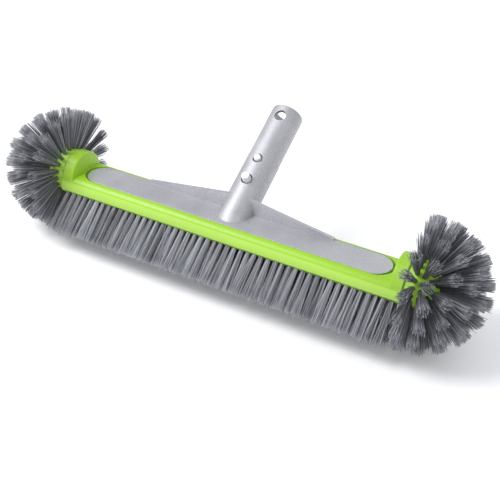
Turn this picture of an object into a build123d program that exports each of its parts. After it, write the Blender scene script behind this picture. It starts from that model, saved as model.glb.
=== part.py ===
from build123d import *
import math
import os

# Pool wall brush, 17.5 in size: a moulded bar with rows of bristle tufts, a bristled cap at each
# end, and a die-cast aluminium back whose tube slides into a telescopic pole.
# All lengths are in millimetres. The parts are drawn with x along the bar, z = 0 on the top face
# of the aluminium plate and y = 0 on its centre line; +y is the side that the tube leans to.
# The last step moves them so that z = 0 is the surface the bristle tips rest on.

# ---- Overall sizes ----
BRUSH_LENGTH = 444.5  # tip to tip over the two end caps
SEAM_X = 158.0  # joint face between the bar and each end cap
BED_Z = -60.0  # level of the lowest bristle tips
AXIS_Z = -5.0  # height of the line through both end caps

# ---- Moulded bar ----
BAR_HALF_WIDTH = 22.5
SHOULDER_R = 8.7
UNDERSIDE_SPREAD = 5.5  # the round underside's radius over the bar's half width
UNDERSIDE_DEPTH = 23.4  # lowest line of the underside, below the top face
COLLAR_R = 21.0
COLLAR_CREST_X = 147.6  # inner rim of the collar
COLLAR_FOOT_X = 145.4  # foot of the collar's inner face, level with the plate
COLLAR_RIM_R = 1.5
COLLAR_EDGE = 0.8
CORE_HALF_WIDTH = 7.5
CORE_DEPTH = 4.5
CORE_RIB = 6.0
CORE_BAYS = 6

# ---- Aluminium back ----
PLATE_HALF_LENGTH = 142.4
PLATE_HALF_WIDTH = 14.6
PLATE_THICKNESS = 3.5
PLATE_GAP = 0.5
PLATE_END_GAP = 2.5
PLATE_EDGE_R = 0.3
RIB_THICKNESS = 3.0
RIB_HEIGHT = 14.0
RIB_END_HEIGHT = 2.0
RIB_HALF_LENGTH = 88.0
RIB_TOP_HALF = 8.0  # half the level stretch at the tube
TUBE_R = 14.3
TUBE_WALL = 3.0
TUBE_LEAN = 57.6  # degrees from vertical
TUBE_FOOT_Y = 13.2  # where the tube's axis crosses the plate's top face
TUBE_END = 102.4  # along the axis, from that point to the open end
TUBE_START = 6.0
TUBE_ROOT_R = 14.6  # the tube is a little thicker below the pole's seat
TUBE_SEAT = 50.0
TUBE_FLOOR = 4.0
TUBE_END_R = 1.2
TUBE_FOOT_SINK = 0.3  # depth that the foot's blank reaches into the plate
TOE_LEAN = 40.0  # degrees from vertical of the rounded toe at the foot's front
TOE_FOOT_Y = 10.0
TOE_R = 14.9
TUBE_CLEARANCE = 0.6  # gap between the tube's underside and the bar's shoulder

# ---- Holes in the tube ----
CROSS_HOLE_R = 5.25
CROSS_HOLE_AT = 91.0
LOCK_HOLE_R = 4.4
LOCK_AT = 44.6
SQUEEZE_HOLE_R = 5.0
SQUEEZE_AT = 23.0

# ---- Spring clip in the tube ----
CLIP_PIVOT_AT = 70.0
CLIP_ARM_OUT = 9.3  # from the tube's axis to the outer face of each arm
CLIP_ARM_THICKNESS = 1.4
CLIP_ARM_WIDTH = 8.5
CLIP_ARM_FOOT_AT = 15.5
CLIP_JOINT_GAP = 0.3
CLIP_BOW_LEG = 2.0
LOCK_BUTTON_R = 3.45
LOCK_PROTRUSION = 2.2
SQUEEZE_BUTTON_R = 4.0
SQUEEZE_PROTRUSION = 6.0
BUTTON_TAPER = 0.4
BUTTON_EDGE_R = 0.6

# ---- Bristle tufts ----
TUFT_PITCH = 6.2
TUFTS_PER_ROW = 50
ROW_COUNT = 7
OUTER_ROW_ANGLE = 47.0  # degrees from straight down
TUFT_FREE_LENGTH = 36.4
TUFT_ROOT_R = 1.65
TUFT_TIP_R = 2.9
TUFT_HOLE_R = 1.9
BAR_HOLE_DEPTH = 9.0
STAPLE_HEIGHT = 1.6
STAPLE_WIDTH = 3.0
STAPLE_THICKNESS = 0.5

# ---- End caps ----
CAP_CENTRE_X = 165.0
CAP_R = 19.5
CAP_GROOVE = 0.8
CAP_GROOVE_WIDTH = 0.8
CAP_HOLE_DEPTH = 5.5
CAP_SPIGOT_R = 7.5
CAP_SPIGOT_LENGTH = 7.0
CAP_SPIGOT_CLEARANCE = 0.05
CAP_TIP_R = 55.0
CAP_RINGS = ((0, 20), (18, 19), (36, 16), (54, 12), (72, 6), (90, 1))  # degrees, tufts

# ---- Screws that hold the back to the bar ----
SCREW_PITCHES = (-19, -8, 8, 19)  # in tuft pitches from the middle tuft
SCREW_R = 2.0
SCREW_HOLE_R = 2.05
SCREW_SHANK_HOLE_R = 2.3
SCREW_HEAD_R = 3.2
SCREW_HEAD_HEIGHT = 2.6
SCREW_SEAT_DEPTH = 6.0
SCREW_SOCKET_R = 1.5
SCREW_SOCKET_DEPTH = 1.4
BOSS_R = 4.8
BOSS_LENGTH = 7.5
BOSS_CLEARANCE = 0.2
SCREW_TIP_GAP = 1.0

# ---- Sizes that follow from the others ----
PLATE_END_X = PLATE_HALF_LENGTH - PLATE_HALF_WIDTH
UNDERSIDE_R = BAR_HALF_WIDTH + UNDERSIDE_SPREAD
UNDERSIDE_Z = UNDERSIDE_R - UNDERSIDE_DEPTH  # centre of the round underside
UNDERSIDE_BOTTOM = -UNDERSIDE_DEPTH
TUBE_BORE_R = TUBE_R - TUBE_WALL
ROW_ANGLES = [OUTER_ROW_ANGLE * (2 * i / (ROW_COUNT - 1) - 1) for i in range(ROW_COUNT)]
CAP_TIP_X = BRUSH_LENGTH / 2 - CAP_TIP_R
LEAN = math.radians(TUBE_LEAN)
TUBE_BACK_Y = TUBE_FOOT_Y + TUBE_END * math.sin(LEAN) + TUBE_R * math.cos(LEAN)
CENTRE_Y = (TUBE_BACK_Y - CAP_TIP_R) / 2
PART_FRAME = Pos(0, -CENTRE_Y, -BED_Z)


def cylinder_x(radius, x_from, x_to, y=0.0, z=0.0):
    """A cylinder along x."""
    length = abs(x_to - x_from)
    return Pos((x_from + x_to) / 2, y, z) * Rot(Y=90) * Cylinder(radius, length)


def stadium(half_length, half_width, z_low, z_high):
    """A slot-shaped slab along x, centred on the origin."""
    outline = SlotOverall(2 * half_length, 2 * half_width)
    return extrude(Pos(0, 0, z_low) * outline, z_high - z_low)


def tube_frame(along=0.0):
    """A place on the tube's axis: z runs up the tube and y points out of its rear side."""
    return Pos(0, TUBE_FOOT_Y, 0) * Rot(X=-TUBE_LEAN) * Pos(0, 0, along)


def bar_section(grow=0.0):
    """The bar's cross-section in the y-z plane, grown outwards by a clearance."""
    half = BAR_HALF_WIDTH + grow
    radius = SHOULDER_R + grow
    under = UNDERSIDE_R + grow
    side_z = UNDERSIDE_Z - math.sqrt(under**2 - half**2)
    top = Line((-(half - radius), grow), (half - radius, grow))
    right = RadiusArc((half - radius, grow), (half, grow - radius), radius)
    right_side = Line((half, grow - radius), (half, side_z))
    bottom = ThreePointArc((half, side_z), (0, UNDERSIDE_Z - under), (-half, side_z))
    left_side = Line((-half, side_z), (-half, grow - radius))
    left = RadiusArc((-half, grow - radius), (-(half - radius), grow), radius)
    return Plane.YZ * make_face(Wire([top, right, right_side, bottom, left_side, left]))


def tuft_blank(free_length, hole_depth, reach):
    """One tuft pointing down: from its seat on the staple out to its trimmed tip."""
    seat = reach - hole_depth + STAPLE_HEIGHT
    length = hole_depth - STAPLE_HEIGHT + free_length
    return Pos(0, 0, -seat - length / 2) * Cone(TUFT_TIP_R, TUFT_ROOT_R, length)


def staple_blank(hole_depth, reach):
    """The flat wire anchor at the bottom of a tuft's hole."""
    height = -(reach - hole_depth) - STAPLE_HEIGHT / 2
    return Pos(0, 0, height) * Box(STAPLE_WIDTH, STAPLE_THICKNESS, STAPLE_HEIGHT)


def hole_blank(hole_depth, reach):
    """The hole that a tuft is punched into, open past the surface."""
    length = hole_depth + TUFT_HOLE_R
    return Pos(0, 0, -(reach - hole_depth) - length / 2) * Cylinder(TUFT_HOLE_R, length)


def row_places(row):
    """Where the tufts of one bar row stand, with room left for the screws in the middle row."""
    count = TUFTS_PER_ROW - row % 2
    steps = [i - (count - 1) / 2 for i in range(count)]
    if row == ROW_COUNT // 2:
        steps = [step for step in steps if step not in SCREW_PITCHES]
    return [Pos(step * TUFT_PITCH, 0, UNDERSIDE_Z) * Rot(X=ROW_ANGLES[row]) for step in steps]


def ring_places(side, ring):
    """Where the tufts of one ring stand on the end cap at x = side * CAP_CENTRE_X."""
    angle, count = CAP_RINGS[ring]
    turn = 360.0 / count
    start = turn / 2 * (ring % 2)
    centre = Pos(side * CAP_CENTRE_X, 0, AXIS_Z)
    return [centre * Rot(X=start + turn * i) * Rot(Y=-side * angle) for i in range(count)]


def cap_places(side):
    """Where all of an end cap's tufts stand."""
    return [place for ring in range(len(CAP_RINGS)) for place in ring_places(side, ring)]


def ring_free_length(ring):
    """The free length that brings a ring's tips to the round outline of the end."""
    angle = math.radians(CAP_RINGS[ring][0])
    shift = CAP_TIP_X - CAP_CENTRE_X
    reach = shift * math.sin(angle) + math.sqrt(CAP_TIP_R**2 - (shift * math.cos(angle)) ** 2)
    return reach - CAP_R


def copies(blank, places):
    """Copies of one solid at several places, as one group of separate solids."""
    return Compound(children=[place * blank for place in places])


def bar_tuft_row(row):
    return copies(tuft_blank(TUFT_FREE_LENGTH, BAR_HOLE_DEPTH, UNDERSIDE_R), row_places(row))


def bar_staple_row(row):
    return copies(staple_blank(BAR_HOLE_DEPTH, UNDERSIDE_R), row_places(row))


def end_ring(side, ring):
    return copies(tuft_blank(ring_free_length(ring), CAP_HOLE_DEPTH, CAP_R), ring_places(side, ring))


def end_staples(side):
    return copies(staple_blank(CAP_HOLE_DEPTH, CAP_R), cap_places(side))


def collar(side):
    """The raised round band at the bar's end. Its inner face leans back, away from the plate."""
    outline = Polyline(
        (COLLAR_FOOT_X, 0),
        (SEAM_X, 0),
        (SEAM_X, COLLAR_R - COLLAR_EDGE),
        (SEAM_X - COLLAR_EDGE, COLLAR_R),
        (COLLAR_CREST_X, COLLAR_R),
        (COLLAR_FOOT_X, -AXIS_Z),
        close=True,
    )
    profile = make_face(outline)
    rim = profile.vertices().sort_by_distance((COLLAR_CREST_X, COLLAR_R, 0))[0]
    band = Pos(0, 0, AXIS_Z) * revolve(fillet(rim, COLLAR_RIM_R), Axis.X)
    if side < 0:
        band = mirror(band, Plane.YZ)
    height = 2 * COLLAR_R
    above = Pos(side * SEAM_X, 0, height / 2 - SHOULDER_R) * Box(2 * COLLAR_R, 2 * COLLAR_R, height)
    return band & above


def screw_places():
    return [Pos(step * TUFT_PITCH, 0, 0) for step in SCREW_PITCHES]


def brush_body():
    """The green bar: round shoulders, collars, a pocket for the back and a hole for each tuft."""
    body = extrude(bar_section(), SEAM_X, both=True)
    for side in (-1, 1):
        body += collar(side)
    pocket_length = PLATE_HALF_LENGTH + PLATE_END_GAP
    body -= stadium(pocket_length, PLATE_HALF_WIDTH + PLATE_GAP, -PLATE_THICKNESS, COLLAR_R)
    body -= core_tools() + screw_tools() + spigot_tools()
    hole = hole_blank(BAR_HOLE_DEPTH, UNDERSIDE_R)
    return body - [place * hole for row in range(ROW_COUNT) for place in row_places(row)]


def core_tools():
    """Hollows under the plate that keep the moulding's walls even, clear of the screw bosses."""
    reach = PLATE_END_X - CORE_RIB
    pitch = 2 * reach / CORE_BAYS
    depth = CORE_DEPTH
    z = -PLATE_THICKNESS - depth / 2
    tools = []
    for i in range(CORE_BAYS):
        low = -reach + i * pitch + CORE_RIB / 2
        high = low + pitch - CORE_RIB
        edges = [low, high]
        for step in SCREW_PITCHES:
            middle = step * TUFT_PITCH
            if low < middle < high:
                edges += [middle - BOSS_R - CORE_RIB / 2, middle + BOSS_R + CORE_RIB / 2]
        edges.sort()
        for left, right in zip(edges[::2], edges[1::2]):
            if right - left > CORE_RIB:
                hollow = Box(right - left, 2 * CORE_HALF_WIDTH, depth)
                tools.append(Pos((left + right) / 2, 0, z) * hollow)
    return tools


def screw_tools():
    """For each screw: the recess for its boss, its clearance hole and the seat of its head."""
    seat_z = UNDERSIDE_BOTTOM + SCREW_SEAT_DEPTH
    boss_end = -PLATE_THICKNESS - BOSS_LENGTH - BOSS_CLEARANCE
    tools = []
    for place in screw_places():
        boss = Pos(0, 0, boss_end / 2) * Cylinder(BOSS_R + BOSS_CLEARANCE, -boss_end)
        shank = Pos(0, 0, (boss_end + seat_z) / 2) * Cylinder(SCREW_SHANK_HOLE_R, boss_end - seat_z)
        head_r = SCREW_HEAD_R + BOSS_CLEARANCE
        head = Pos(0, 0, seat_z - SCREW_SEAT_DEPTH / 2) * Cylinder(head_r, SCREW_SEAT_DEPTH)
        tools += [place * boss, place * shank, place * head]
    return tools


def spigot_tools():
    """The bore in each end of the bar that an end cap's spigot sits in."""
    depth = CAP_SPIGOT_LENGTH + CAP_SPIGOT_CLEARANCE
    radius = CAP_SPIGOT_R + CAP_SPIGOT_CLEARANCE
    return [cylinder_x(radius, side * (SEAM_X - depth), side * SEAM_X, z=AXIS_Z) for side in (-1, 1)]


def end_cap(side):
    """A round-nosed cap with a groove at the seam, a spigot and a hole for each tuft."""
    groove_r = CAP_R - CAP_GROOVE
    groove_x = SEAM_X + CAP_GROOVE_WIDTH
    spigot_x = SEAM_X - CAP_SPIGOT_LENGTH
    nose_x = CAP_CENTRE_X + CAP_R
    flat = Polyline(
        (nose_x, 0),
        (spigot_x, 0),
        (spigot_x, CAP_SPIGOT_R),
        (SEAM_X, CAP_SPIGOT_R),
        (SEAM_X, groove_r),
        (groove_x, groove_r),
        (groove_x, CAP_R),
        (CAP_CENTRE_X, CAP_R),
    )
    nose_middle = CAP_R * math.sqrt(0.5)
    nose = ThreePointArc((CAP_CENTRE_X, CAP_R), (CAP_CENTRE_X + nose_middle, nose_middle), (nose_x, 0))
    cap = Pos(0, 0, AXIS_Z) * revolve(make_face(Wire([*flat.edges(), nose])), Axis.X)
    if side < 0:
        cap = mirror(cap, Plane.YZ)
    blank = hole_blank(CAP_HOLE_DEPTH, CAP_R)
    return cap - [place * blank for place in cap_places(side)]


def plate():
    """The long flat of the back, with its bosses underneath."""
    slab = stadium(PLATE_HALF_LENGTH, PLATE_HALF_WIDTH, -PLATE_THICKNESS, 0)
    slab = fillet(slab.edges().group_by(Axis.Z)[-1], PLATE_EDGE_R)
    boss_z = -PLATE_THICKNESS - BOSS_LENGTH / 2
    for place in screw_places():
        slab += place * Pos(0, 0, boss_z) * Cylinder(BOSS_R, BOSS_LENGTH)
    return slab


def rib():
    """The upright web along the plate's rear edge, tapering away from the tube."""
    rear = PLATE_HALF_WIDTH
    front = rear - RIB_THICKNESS
    reach = RIB_HALF_LENGTH
    outline = Polyline(
        (-reach, -PLATE_THICKNESS),
        (-reach, RIB_END_HEIGHT),
        (-RIB_TOP_HALF, RIB_HEIGHT),
        (RIB_TOP_HALF, RIB_HEIGHT),
        (reach, RIB_END_HEIGHT),
        (reach, -PLATE_THICKNESS),
        close=True,
    )
    face = Plane(origin=(0, rear, 0), x_dir=(1, 0, 0), z_dir=(0, -1, 0)) * make_face(outline)
    web = extrude(face, rear - front)
    ends = stadium(PLATE_HALF_LENGTH, PLATE_HALF_WIDTH, -PLATE_THICKNESS, RIB_HEIGHT)
    return web & ends


def tube_outside():
    """The solid tube and its foot, clear of the bar's rear shoulder."""
    length = TUBE_END - TUBE_START
    tube = tube_frame(TUBE_START + length / 2) * Cylinder(TUBE_R, length)
    tube = fillet(tube.edges().sort_by(Axis.Z)[-1], TUBE_END_R)
    root_length = TUBE_SEAT - TUBE_START
    tube += tube_frame(TUBE_START + root_length / 2) * Cylinder(TUBE_ROOT_R, root_length)
    relief = extrude(bar_section(TUBE_CLEARANCE), 2 * TUBE_R, both=True)
    foot_length = 2 * TUBE_R / math.cos(LEAN)
    foot = tube_frame(TUBE_START + TUBE_R - foot_length / 2) * Cylinder(TUBE_ROOT_R, foot_length)
    above_plate = stadium(PLATE_HALF_LENGTH, PLATE_HALF_WIDTH, -TUBE_FOOT_SINK, 2 * TUBE_R)
    toe = Pos(0, TOE_FOOT_Y, 0) * Rot(X=-TOE_LEAN) * Cylinder(TOE_R, 4 * TUBE_R)
    return (tube - relief) + (foot & above_plate & toe)


def cross_tool(along, radius):
    """A hole straight through both walls of the tube, from front to rear."""
    return tube_frame(along) * Rot(X=90) * Cylinder(radius, 4 * TUBE_R)


def back_casting():
    """Plate, rib and tube in one casting, with the tube's bore and its cross holes."""
    casting = plate() + rib() + tube_outside()
    bore_start = TUBE_START + TUBE_FLOOR
    bore_length = TUBE_END - bore_start
    casting -= tube_frame(bore_start + bore_length / 2) * Cylinder(TUBE_BORE_R, bore_length)
    casting -= cross_tool(CROSS_HOLE_AT, CROSS_HOLE_R)
    casting -= cross_tool(LOCK_AT, LOCK_HOLE_R)
    casting -= cross_tool(SQUEEZE_AT, SQUEEZE_HOLE_R)
    pilot = Pos(0, 0, -PLATE_THICKNESS - BOSS_LENGTH / 2) * Cylinder(SCREW_HOLE_R, BOSS_LENGTH)
    return casting - [place * pilot for place in screw_places()]


def back_screws():
    """Pan-head screws driven up from between the bristles into the casting's bosses."""
    seat_z = UNDERSIDE_BOTTOM + SCREW_SEAT_DEPTH
    tip_z = -PLATE_THICKNESS - SCREW_TIP_GAP
    head = Pos(0, 0, seat_z - SCREW_HEAD_HEIGHT / 2) * Cylinder(SCREW_HEAD_R, SCREW_HEAD_HEIGHT)
    head = fillet(head.edges().sort_by(Axis.Z)[0], SCREW_HEAD_HEIGHT / 3)
    shank = Pos(0, 0, (seat_z + tip_z) / 2) * Cylinder(SCREW_R, tip_z - seat_z)
    shank = chamfer(shank.edges().sort_by(Axis.Z)[-1], SCREW_R / 2)
    hexagon = Pos(0, 0, seat_z - SCREW_HEAD_HEIGHT) * RegularPolygon(SCREW_SOCKET_R, 6)
    socket = extrude(hexagon, SCREW_SOCKET_DEPTH)
    return copies(head + shank - socket, screw_places())


def clip_side(side, along=0.0):
    """The place of one clip arm's outer face: z up the tube, y outwards; side -1 is the front."""
    turn = 180 if side < 0 else 0
    return tube_frame(along) * Rot(Z=turn) * Pos(0, CLIP_ARM_OUT, 0)


def button(radius, protrusion):
    """A moulded button standing out of an arm, pointing along y, slightly tapered."""
    height = TUBE_R + protrusion - CLIP_ARM_OUT
    body = Pos(0, height / 2, 0) * Rot(X=-90) * Cone(radius, radius - BUTTON_TAPER, height)
    return fillet(body.edges().sort_by(Axis.Y)[-1], BUTTON_EDGE_R)


def clip_arm(side):
    """One springy arm of the clip with its lock button and its squeeze button."""
    top = CLIP_PIVOT_AT - CLIP_JOINT_GAP
    length = top - CLIP_ARM_FOOT_AT
    thickness = CLIP_ARM_THICKNESS
    arm = Pos(0, -thickness / 2, CLIP_ARM_FOOT_AT + length / 2) * Box(CLIP_ARM_WIDTH, thickness, length)
    arm = fillet(arm.edges().filter_by(Axis.Y), thickness)
    arm += Pos(0, 0, LOCK_AT) * button(LOCK_BUTTON_R, LOCK_PROTRUSION)
    arm += Pos(0, 0, SQUEEZE_AT) * button(SQUEEZE_BUTTON_R, SQUEEZE_PROTRUSION)
    return clip_side(side) * arm


def clip_bow():
    """The bent top of the clip that joins its two arms."""
    outer = CLIP_ARM_OUT
    inner = CLIP_ARM_OUT - CLIP_ARM_THICKNESS
    bend = Pos(0, 0, CLIP_PIVOT_AT + CLIP_BOW_LEG) * Rot(Y=90) * (
        Cylinder(outer, CLIP_ARM_WIDTH) - Cylinder(inner, CLIP_ARM_WIDTH)
    )
    upper = Pos(0, 0, CLIP_PIVOT_AT + CLIP_BOW_LEG + outer) * Box(CLIP_ARM_WIDTH, 2 * outer, 2 * outer)
    bow = bend & upper
    for side in (-1, 1):
        y = side * (outer - CLIP_ARM_THICKNESS / 2)
        leg = Box(CLIP_ARM_WIDTH, CLIP_ARM_THICKNESS, CLIP_BOW_LEG)
        bow += Pos(0, y, CLIP_PIVOT_AT + CLIP_BOW_LEG / 2) * leg
    return tube_frame() * bow


def all_parts():
    parts = {
        "brush_body": brush_body(),
        "back_casting": back_casting(),
        "back_screws": back_screws(),
        "clip_bow": clip_bow(),
        "clip_front_arm": clip_arm(-1),
        "clip_rear_arm": clip_arm(1),
    }
    for row in range(ROW_COUNT):
        parts[f"bar_tuft_row_{row + 1}"] = bar_tuft_row(row)
        parts[f"bar_staple_row_{row + 1}"] = bar_staple_row(row)
    for side, name in ((-1, "left"), (1, "right")):
        parts[f"{name}_end_cap"] = end_cap(side)
        parts[f"{name}_end_staples"] = end_staples(side)
        for ring in range(len(CAP_RINGS)):
            parts[f"{name}_end_ring_{ring + 1}"] = end_ring(side, ring)
    return parts


def print_places():
    """The places that the record states, in metres in the part's frame."""
    for label, along, out in (
        ("tube_end", TUBE_END, 0.0),
        ("cross_hole", CROSS_HOLE_AT, 0.0),
        ("front_pivot", CLIP_PIVOT_AT, -(CLIP_ARM_OUT - CLIP_ARM_THICKNESS / 2)),
        ("rear_pivot", CLIP_PIVOT_AT, CLIP_ARM_OUT - CLIP_ARM_THICKNESS / 2),
    ):
        place = PART_FRAME * tube_frame(along) * Pos(0, out, 0)
        print(label, [round(value / 1000, 6) for value in place.position])


def main():
    os.makedirs("parts", exist_ok=True)
    for name, shape in all_parts().items():
        export_step(PART_FRAME * shape, f"parts/{name}.step")
    print_places()


main()
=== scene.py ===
import math

import bmesh
import bpy
import numpy as np
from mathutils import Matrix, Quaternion, Vector


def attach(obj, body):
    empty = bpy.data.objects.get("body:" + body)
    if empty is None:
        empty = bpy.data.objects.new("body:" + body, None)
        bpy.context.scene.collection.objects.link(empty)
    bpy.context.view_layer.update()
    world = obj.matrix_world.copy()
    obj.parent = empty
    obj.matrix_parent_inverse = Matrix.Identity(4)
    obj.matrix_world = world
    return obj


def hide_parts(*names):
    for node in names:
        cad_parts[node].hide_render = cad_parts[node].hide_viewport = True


# Pool wall brush. Lengths are in metres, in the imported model's frame: x along the bar, z up from
# the surface that the bristle tips rest on, y towards the side that the tube leans to.

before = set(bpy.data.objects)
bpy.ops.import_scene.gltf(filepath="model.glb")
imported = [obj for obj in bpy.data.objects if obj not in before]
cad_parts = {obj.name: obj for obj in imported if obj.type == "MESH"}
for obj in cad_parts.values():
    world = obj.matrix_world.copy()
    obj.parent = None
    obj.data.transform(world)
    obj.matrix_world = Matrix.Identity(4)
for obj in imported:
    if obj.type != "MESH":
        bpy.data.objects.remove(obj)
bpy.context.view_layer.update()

# ---- Camera ----
CAMERA_AT = Vector((0.2857, -0.5869, 0.4388))
CAMERA_AIM = Vector((0.0222, -0.0316, 0.0375))
CAMERA_ROLL = 4.06  # degrees
CAMERA_LENS = 63.44  # mm on a 36 mm sensor

# ---- Bristle filaments ----
BODY = "brush"
ROWS = 7
RINGS = 6
FILAMENTS = 64  # in each tuft
FILAMENT_R = 0.00019
FILAMENT_SIDES = 6
FILAMENT_STEPS = 4
ROOT_FILL = 0.80  # share of the tuft's root radius that the filaments' centres fill
BAR_FLARE = 1.12  # radius of the bundle at its tip over the CAD tuft's tip radius
END_FLARE = 1.75
BAR_TONE = 0.74  # mean place of the filaments in the tone ramp
END_TONE = 0.45
TUFT_LEAN = 0.0009  # how far a whole tuft's tip strays, one standard deviation
TIP_SCATTER = 0.00045
STRAY_SHARE = 0.06
STRAY_SCATTER = 0.0022
BEND = 0.0005
LENGTH_SCATTER = 0.0008
GOLDEN_ANGLE = math.pi * (3 - math.sqrt(5))
ISLAND_WELD = 1e-6
RIM_DEPTH = 1e-4  # points this near a cone's end belong to its rim
NEARLY_PARALLEL = 0.1  # sine of the angle below which another axis is crossed
TONE_SCATTER = 0.27  # of single filaments
TUFT_TONE_SCATTER = 0.08  # of whole tufts

# ---- Studio ----
FLOOR_HALF = 6.0
LIGHT_AIM = (0.0, 0.0, 0.05)
KEY_AT, KEY_SIZE, KEY_POWER = (-0.9, -0.7, 1.4), 0.9, 23.0  # power in watts
FILL_AT, FILL_SIZE, FILL_POWER = (1.3, -0.9, 0.8), 1.2, 2.5
RIM_AT, RIM_SIZE, RIM_POWER = (0.3, 1.5, 1.0), 1.2, 3.5
SKY_STRENGTH = 0.68


# ---- Shader helpers ----
def new_material(name):
    """A material with one Principled shader; returns the material, its nodes and the shader."""
    material = bpy.data.materials.new(name)
    material.use_nodes = True
    nodes = material.node_tree.nodes
    return material, nodes, nodes["Principled BSDF"]


def link(material, out_socket, in_socket):
    material.node_tree.links.new(out_socket, in_socket)


def noise(material, scale, detail=4.0, stretch=(1.0, 1.0, 1.0)):
    """A noise pattern in object space, scale in cells a metre; returns its value socket."""
    nodes = material.node_tree.nodes
    place = nodes.new("ShaderNodeTexCoord")
    mapping = nodes.new("ShaderNodeMapping")
    mapping.inputs["Scale"].default_value = stretch
    texture = nodes.new("ShaderNodeTexNoise")
    texture.inputs["Scale"].default_value = scale
    texture.inputs["Detail"].default_value = detail
    link(material, place.outputs["Object"], mapping.inputs["Vector"])
    link(material, mapping.outputs["Vector"], texture.inputs["Vector"])
    return texture.outputs["Fac"]


def ramp(material, value, stops):
    """A colour ramp on a value; stops is [(position, colour), ...]."""
    node = material.node_tree.nodes.new("ShaderNodeValToRGB")
    elements = node.color_ramp.elements
    while len(elements) < len(stops):
        elements.new(1.0)
    for element, (position, colour) in zip(elements, stops):
        element.position = position
        element.color = (*colour, 1.0)
    link(material, value, node.inputs["Fac"])
    return node.outputs["Color"]


def spread(material, value, low, high, from_low=0.3, from_high=0.7):
    """A value moved from one range to another."""
    node = material.node_tree.nodes.new("ShaderNodeMapRange")
    node.inputs["From Min"].default_value = from_low
    node.inputs["From Max"].default_value = from_high
    node.inputs["To Min"].default_value = low
    node.inputs["To Max"].default_value = high
    link(material, value, node.inputs["Value"])
    return node.outputs["Result"]


def bump(material, shader, heights):
    """Stacked bumps; heights is [(value socket, depth in metres), ...]."""
    nodes = material.node_tree.nodes
    normal = None
    for value, depth in heights:
        node = nodes.new("ShaderNodeBump")
        node.inputs["Strength"].default_value = 1.0
        node.inputs["Distance"].default_value = depth
        link(material, value, node.inputs["Height"])
        if normal is not None:
            link(material, normal, node.inputs["Normal"])
        normal = node.outputs["Normal"]
    link(material, normal, shader.inputs["Normal"])


def shade(base, factor):
    return tuple(channel * factor for channel in base)


# ---- Materials ----
def green_plastic():
    """Satin moulded polypropylene: faint flow marks, fine texture and paler rubbed edges."""
    lime = (0.31, 0.57, 0.02)
    material, nodes, shader = new_material("lime_polypropylene")
    flow = noise(material, 22.0, stretch=(0.35, 1.0, 1.0))
    tint = ramp(material, flow, [(0.3, shade(lime, 0.94)), (0.7, shade(lime, 1.04))])
    geometry = nodes.new("ShaderNodeNewGeometry")
    edge = spread(material, geometry.outputs["Pointiness"], 0.0, 0.35, 0.52, 0.60)
    worn = nodes.new("ShaderNodeMix")
    worn.data_type = "RGBA"
    worn.inputs["B"].default_value = (0.60, 0.88, 0.22, 1.0)
    link(material, edge, worn.inputs["Factor"])
    link(material, tint, worn.inputs["A"])
    link(material, worn.outputs["Result"], shader.inputs["Base Color"])
    link(material, spread(material, noise(material, 260.0), 0.34, 0.44), shader.inputs["Roughness"])
    shader.inputs["Subsurface Weight"].default_value = 0.06
    shader.inputs["Subsurface Radius"].default_value = (0.004, 0.006, 0.001)
    shader.inputs["Subsurface Scale"].default_value = 0.3
    bump(material, shader, [(noise(material, 900.0), 0.00002), (flow, 0.00008)])
    return material


def cast_aluminium():
    """Tumbled die casting: soft satin metal with grain, long drag marks and duller patches."""
    material, _, shader = new_material("cast_aluminium")
    patches = noise(material, 35.0)
    grain = noise(material, 1300.0, stretch=(1.0, 0.6, 0.6))
    tint = ramp(material, patches, [(0.3, (0.53, 0.53, 0.56)), (0.7, (0.63, 0.63, 0.655))])
    speckle = material.node_tree.nodes.new("ShaderNodeMix")
    speckle.data_type = "RGBA"
    speckle.inputs["B"].default_value = (0.30, 0.30, 0.33, 1.0)
    link(material, spread(material, grain, 0.0, 0.45), speckle.inputs["Factor"])
    link(material, tint, speckle.inputs["A"])
    link(material, speckle.outputs["Result"], shader.inputs["Base Color"])
    shader.inputs["Metallic"].default_value = 0.85
    link(material, spread(material, patches, 0.50, 0.62), shader.inputs["Roughness"])
    drag = noise(material, 420.0, stretch=(1.0, 0.05, 0.05))
    bump(material, shader, [(grain, 0.00011), (drag, 0.00004), (patches, 0.0001)])
    return material


def bristle_nylon():
    """Grey nylon filament: each filament has its own tone, held in the map's v, and a dusty tip."""
    material, nodes, shader = new_material("grey_nylon_filament")
    place = nodes.new("ShaderNodeUVMap")
    place.uv_map = "OFBake"
    parts = nodes.new("ShaderNodeSeparateXYZ")
    link(material, place.outputs["UV"], parts.inputs["Vector"])
    tones = [(0.0, (0.045, 0.045, 0.055)), (0.5, (0.20, 0.20, 0.225)), (1.0, (0.48, 0.49, 0.54))]
    tone = ramp(material, parts.outputs["Y"], tones)
    tip = nodes.new("ShaderNodeMix")
    tip.data_type = "RGBA"
    tip.inputs["B"].default_value = (0.42, 0.42, 0.46, 1.0)
    link(material, spread(material, parts.outputs["X"], 0.0, 0.35, 0.9, 1.0), tip.inputs["Factor"])
    link(material, tone, tip.inputs["A"])
    link(material, tip.outputs["Result"], shader.inputs["Base Color"])
    shader.inputs["Roughness"].default_value = 0.42
    shader.inputs["Sheen Weight"].default_value = 0.15
    shader.inputs["Sheen Roughness"].default_value = 0.4
    return material


def clip_acetal():
    """White acetal of the spring clip, slightly uneven, with a soft gloss."""
    material, _, shader = new_material("white_acetal")
    cloud = noise(material, 120.0)
    tint = ramp(material, cloud, [(0.3, (0.70, 0.70, 0.73)), (0.7, (0.76, 0.76, 0.79))])
    link(material, tint, shader.inputs["Base Color"])
    link(material, spread(material, cloud, 0.28, 0.38), shader.inputs["Roughness"])
    shader.inputs["Subsurface Weight"].default_value = 0.1
    shader.inputs["Subsurface Scale"].default_value = 0.002
    bump(material, shader, [(noise(material, 1500.0), 0.00001)])
    return material


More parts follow.
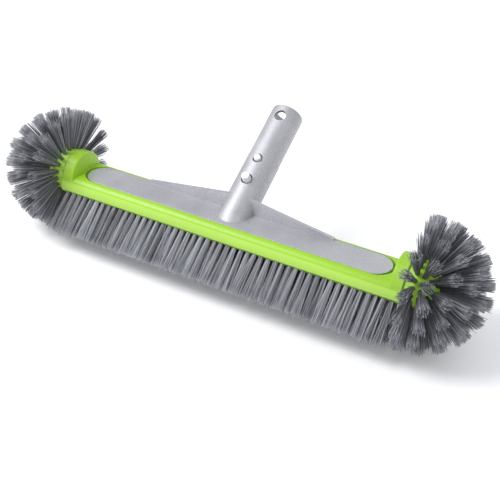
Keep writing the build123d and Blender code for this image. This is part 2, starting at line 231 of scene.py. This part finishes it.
def steel(name, base, grain):
    """Plain steel wire or screw stock with fine drawing marks."""
    material, _, shader = new_material(name)
    marks = noise(material, grain, stretch=(1.0, 1.0, 0.1))
    tint = ramp(material, marks, [(0.3, shade(base, 0.85)), (0.7, base)])
    link(material, tint, shader.inputs["Base Color"])
    shader.inputs["Metallic"].default_value = 1.0
    link(material, spread(material, marks, 0.22, 0.36), shader.inputs["Roughness"])
    bump(material, shader, [(marks, 0.00001)])
    return material


def paint(node, material):
    """Gives a CAD node's mesh one material."""
    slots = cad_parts[node].data.materials
    slots.clear()
    slots.append(material)


# ---- Bristles ----
def tuft_cones(node):
    """Root, tip, root radius and tip radius of every cone in one of the frame's tuft nodes."""
    bm = bmesh.new()
    bm.from_mesh(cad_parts[node].data)
    bmesh.ops.remove_doubles(bm, verts=bm.verts, dist=ISLAND_WELD)
    seen = set()
    cones = []
    for start in bm.verts:
        if start in seen:
            continue
        seen.add(start)
        island = [start]
        for vert in island:
            for edge in vert.link_edges:
                other = edge.other_vert(vert)
                if other not in seen:
                    seen.add(other)
                    island.append(other)
        cones.append(cone_of(np.array([vert.co for vert in island])))
    bm.free()
    return cones


def cone_of(points):
    """The cone that a cloud of points on its two rims belongs to."""
    middle = points.mean(0)
    axis = np.linalg.svd(points - middle)[2][0]
    along = (points - middle) @ axis
    rims = []
    for sign in (-1.0, 1.0):
        at = (sign * along).max()
        rim = points[sign * along > at - RIM_DEPTH]
        centre = middle + axis * sign * at
        rims.append((np.linalg.norm(rim - centre, axis=1).max(), centre))
    rims.sort(key=lambda rim: rim[0])
    (root_r, root), (tip_r, tip) = rims
    return root, tip, root_r, tip_r


def filament_paths(rng, cones, flare):
    """Centre lines of all filaments, by tuft, filament, step and place, and the tufts' side axes."""
    root = np.array([cone[0] for cone in cones])
    tip = np.array([cone[1] for cone in cones])
    root_r = np.array([cone[2] for cone in cones]) * ROOT_FILL
    tip_r = np.array([cone[3] for cone in cones]) * flare
    tufts = len(cones)
    axis = tip - root
    length = np.linalg.norm(axis, axis=1, keepdims=True)
    axis /= length
    across = np.cross(axis, (1.0, 0.0, 0.0))
    small = np.linalg.norm(across, axis=1) < NEARLY_PARALLEL
    across[small] = np.cross(axis[small], (0.0, 1.0, 0.0))
    across /= np.linalg.norm(across, axis=1, keepdims=True)
    side = np.cross(axis, across)

    index = np.arange(FILAMENTS)
    radius = np.sqrt((index + 0.5) / FILAMENTS)
    turn = index * GOLDEN_ANGLE + rng.uniform(0, 2 * math.pi, (tufts, 1))
    disc = np.stack([radius * np.cos(turn), radius * np.sin(turn)], -1)
    scatter = rng.normal(0, TIP_SCATTER, (tufts, FILAMENTS, 2))
    stray = rng.random((tufts, FILAMENTS, 1)) < STRAY_SHARE
    scatter += stray * rng.normal(0, STRAY_SCATTER, (tufts, FILAMENTS, 2))
    lean = rng.normal(0, TUFT_LEAN, (tufts, 1, 2))
    bend = rng.normal(0, BEND, (tufts, FILAMENTS, 2))
    reach = length + rng.normal(0, LENGTH_SCATTER, (tufts, FILAMENTS)) - LENGTH_SCATTER

    t = np.linspace(0.0, 1.0, FILAMENT_STEPS + 1)[:, None]
    at_root = (disc * root_r[:, None, None])[:, :, None]
    at_tip = (disc * tip_r[:, None, None] + scatter + lean)[:, :, None]
    flat = at_root * (1 - t) + at_tip * t + bend[:, :, None] * t * (1 - t)
    along = reach[:, :, None] * t[:, 0]
    paths = root[:, None, None] + along[..., None] * axis[:, None, None]
    paths = paths + flat[..., :1] * across[:, None, None] + flat[..., 1:] * side[:, None, None]
    return paths, across, side


def bristles(name, node, seed, flare, tone_mean):
    """The filaments that stand for one of the frame's tuft nodes, as one mesh."""
    rng = np.random.default_rng(seed)
    paths, across, side = filament_paths(rng, tuft_cones(node), flare)
    tufts = len(paths)
    rings = FILAMENT_STEPS + 1
    sides = FILAMENT_SIDES
    angle = np.arange(sides) * 2 * math.pi / sides
    spokes = across[:, None] * np.cos(angle)[:, None] + side[:, None] * np.sin(angle)[:, None]
    points = paths[:, :, :, None] + FILAMENT_R * spokes[:, None, None]

    ring = np.arange(sides)
    wall = np.stack([ring, (ring + 1) % sides, (ring + 1) % sides + sides, ring + sides], 1)
    walls = np.concatenate([wall + step * sides for step in range(FILAMENT_STEPS)])
    last = FILAMENT_STEPS * sides
    ends = np.array([[3, 2, 1, 0], [5, 4, 3, 0]])
    faces = np.concatenate([walls, ends, last + ends[:, ::-1]])
    count = tufts * FILAMENTS
    all_faces = (faces + np.arange(count)[:, None, None] * rings * sides).reshape(-1, 4)

    mesh = bpy.data.meshes.new(name)
    mesh.from_pydata(points.reshape(-1, 3), [], all_faces)
    smooth = np.tile(np.arange(len(faces)) < len(walls), count)
    mesh.polygons.foreach_set("use_smooth", smooth)
    own = rng.normal(0, TONE_SCATTER, (tufts, FILAMENTS))
    shared = rng.normal(0, TUFT_TONE_SCATTER, (tufts, 1))
    tone = np.clip(tone_mean + (own + shared), 0, 1)
    u = np.broadcast_to(np.linspace(0, 1, rings)[None, :, None], (count, rings, sides))
    v = np.broadcast_to(tone.reshape(-1)[:, None, None], (count, rings, sides))
    uv = np.stack([u, v], -1).reshape(-1, 2)
    layer = mesh.uv_layers.new(name="OFBake")
    layer.uv.foreach_set("vector", uv[all_faces.ravel()].astype(np.float32).ravel())
    mesh.update()
    piece = bpy.data.objects.new(name, mesh)
    bpy.context.scene.collection.objects.link(piece)
    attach(piece, BODY)
    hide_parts(node)
    return piece


def all_bristles():
    material = bristle_nylon()
    pieces = []
    for row in range(1, ROWS + 1):
        node = f"bar_tuft_row_{row}"
        pieces.append(bristles(f"bar_bristles_{row}", node, row, BAR_FLARE, BAR_TONE))
    for side_seed, side in ((100, "left"), (200, "right")):
        for ring in range(1, RINGS + 1):
            seed = side_seed + ring
            name = f"{side}_end_bristles_{ring}"
            pieces.append(bristles(name, f"{side}_end_ring_{ring}", seed, END_FLARE, END_TONE))
    for piece in pieces:
        piece.data.materials.append(material)


# ---- Stage ----
def floor():
    """A plain pale floor under the bristle tips."""
    half = FLOOR_HALF
    corners = [(-half, -half, 0), (half, -half, 0), (half, half, 0), (-half, half, 0)]
    mesh = bpy.data.meshes.new("floor")
    mesh.from_pydata(corners, [], [(0, 1, 2, 3)])
    piece = bpy.data.objects.new("floor", mesh)
    bpy.context.scene.collection.objects.link(piece)
    material, _, shader = new_material("pale_floor")
    shader.inputs["Base Color"].default_value = (0.96, 0.96, 0.97, 1.0)
    shader.inputs["Emission Color"].default_value = (1.0, 1.0, 1.0, 1.0)
    shader.inputs["Emission Strength"].default_value = 0.12
    shader.inputs["Roughness"].default_value = 0.7
    mesh.materials.append(material)


def area_light(name, at, size, power):
    data = bpy.data.lights.new(name, "AREA")
    data.shape = "DISK"
    data.size = size
    data.energy = power
    lamp = bpy.data.objects.new(name, data)
    lamp.location = at
    lamp.rotation_mode = "QUATERNION"
    lamp.rotation_quaternion = (Vector(LIGHT_AIM) - Vector(at)).to_track_quat("-Z", "Y")
    bpy.context.scene.collection.objects.link(lamp)


def lights():
    """Plain soft studio light: a large key from the left, a weaker fill and a low sky."""
    area_light("key", KEY_AT, KEY_SIZE, KEY_POWER)
    area_light("fill", FILL_AT, FILL_SIZE, FILL_POWER)
    area_light("rim", RIM_AT, RIM_SIZE, RIM_POWER)
    world = bpy.data.worlds.new("studio")
    world.use_nodes = True
    sky = world.node_tree.nodes["Background"]
    sky.inputs["Color"].default_value = (0.95, 0.97, 1.0, 1.0)
    sky.inputs["Strength"].default_value = SKY_STRENGTH
    bpy.context.scene.world = world


def camera():
    data = bpy.data.cameras.new("camera")
    data.lens = CAMERA_LENS
    data.sensor_width = 36.0
    piece = bpy.data.objects.new("camera", data)
    piece.location = CAMERA_AT
    aim = (CAMERA_AIM - CAMERA_AT).to_track_quat("-Z", "Y")
    piece.rotation_mode = "QUATERNION"
    piece.rotation_quaternion = aim @ Quaternion((0.0, 0.0, 1.0), math.radians(CAMERA_ROLL))
    bpy.context.scene.collection.objects.link(piece)
    bpy.context.scene.camera = piece


def cad_finishes():
    green = green_plastic()
    for node in ("brush_body", "left_end_cap", "right_end_cap"):
        paint(node, green)
    paint("back_casting", cast_aluminium())
    white = clip_acetal()
    for node in ("clip_bow", "clip_front_arm", "clip_rear_arm"):
        paint(node, white)
    paint("back_screws", steel("stainless_screw", (0.62, 0.62, 0.63), 900.0))
    wire = steel("staple_wire", (0.58, 0.57, 0.54), 1500.0)
    for row in range(1, ROWS + 1):
        paint(f"bar_staple_row_{row}", wire)
    for side in ("left", "right"):
        paint(f"{side}_end_staples", wire)


cad_finishes()
all_bristles()
floor()
lights()
camera()
bpy.context.scene.view_settings.view_transform = "Standard"
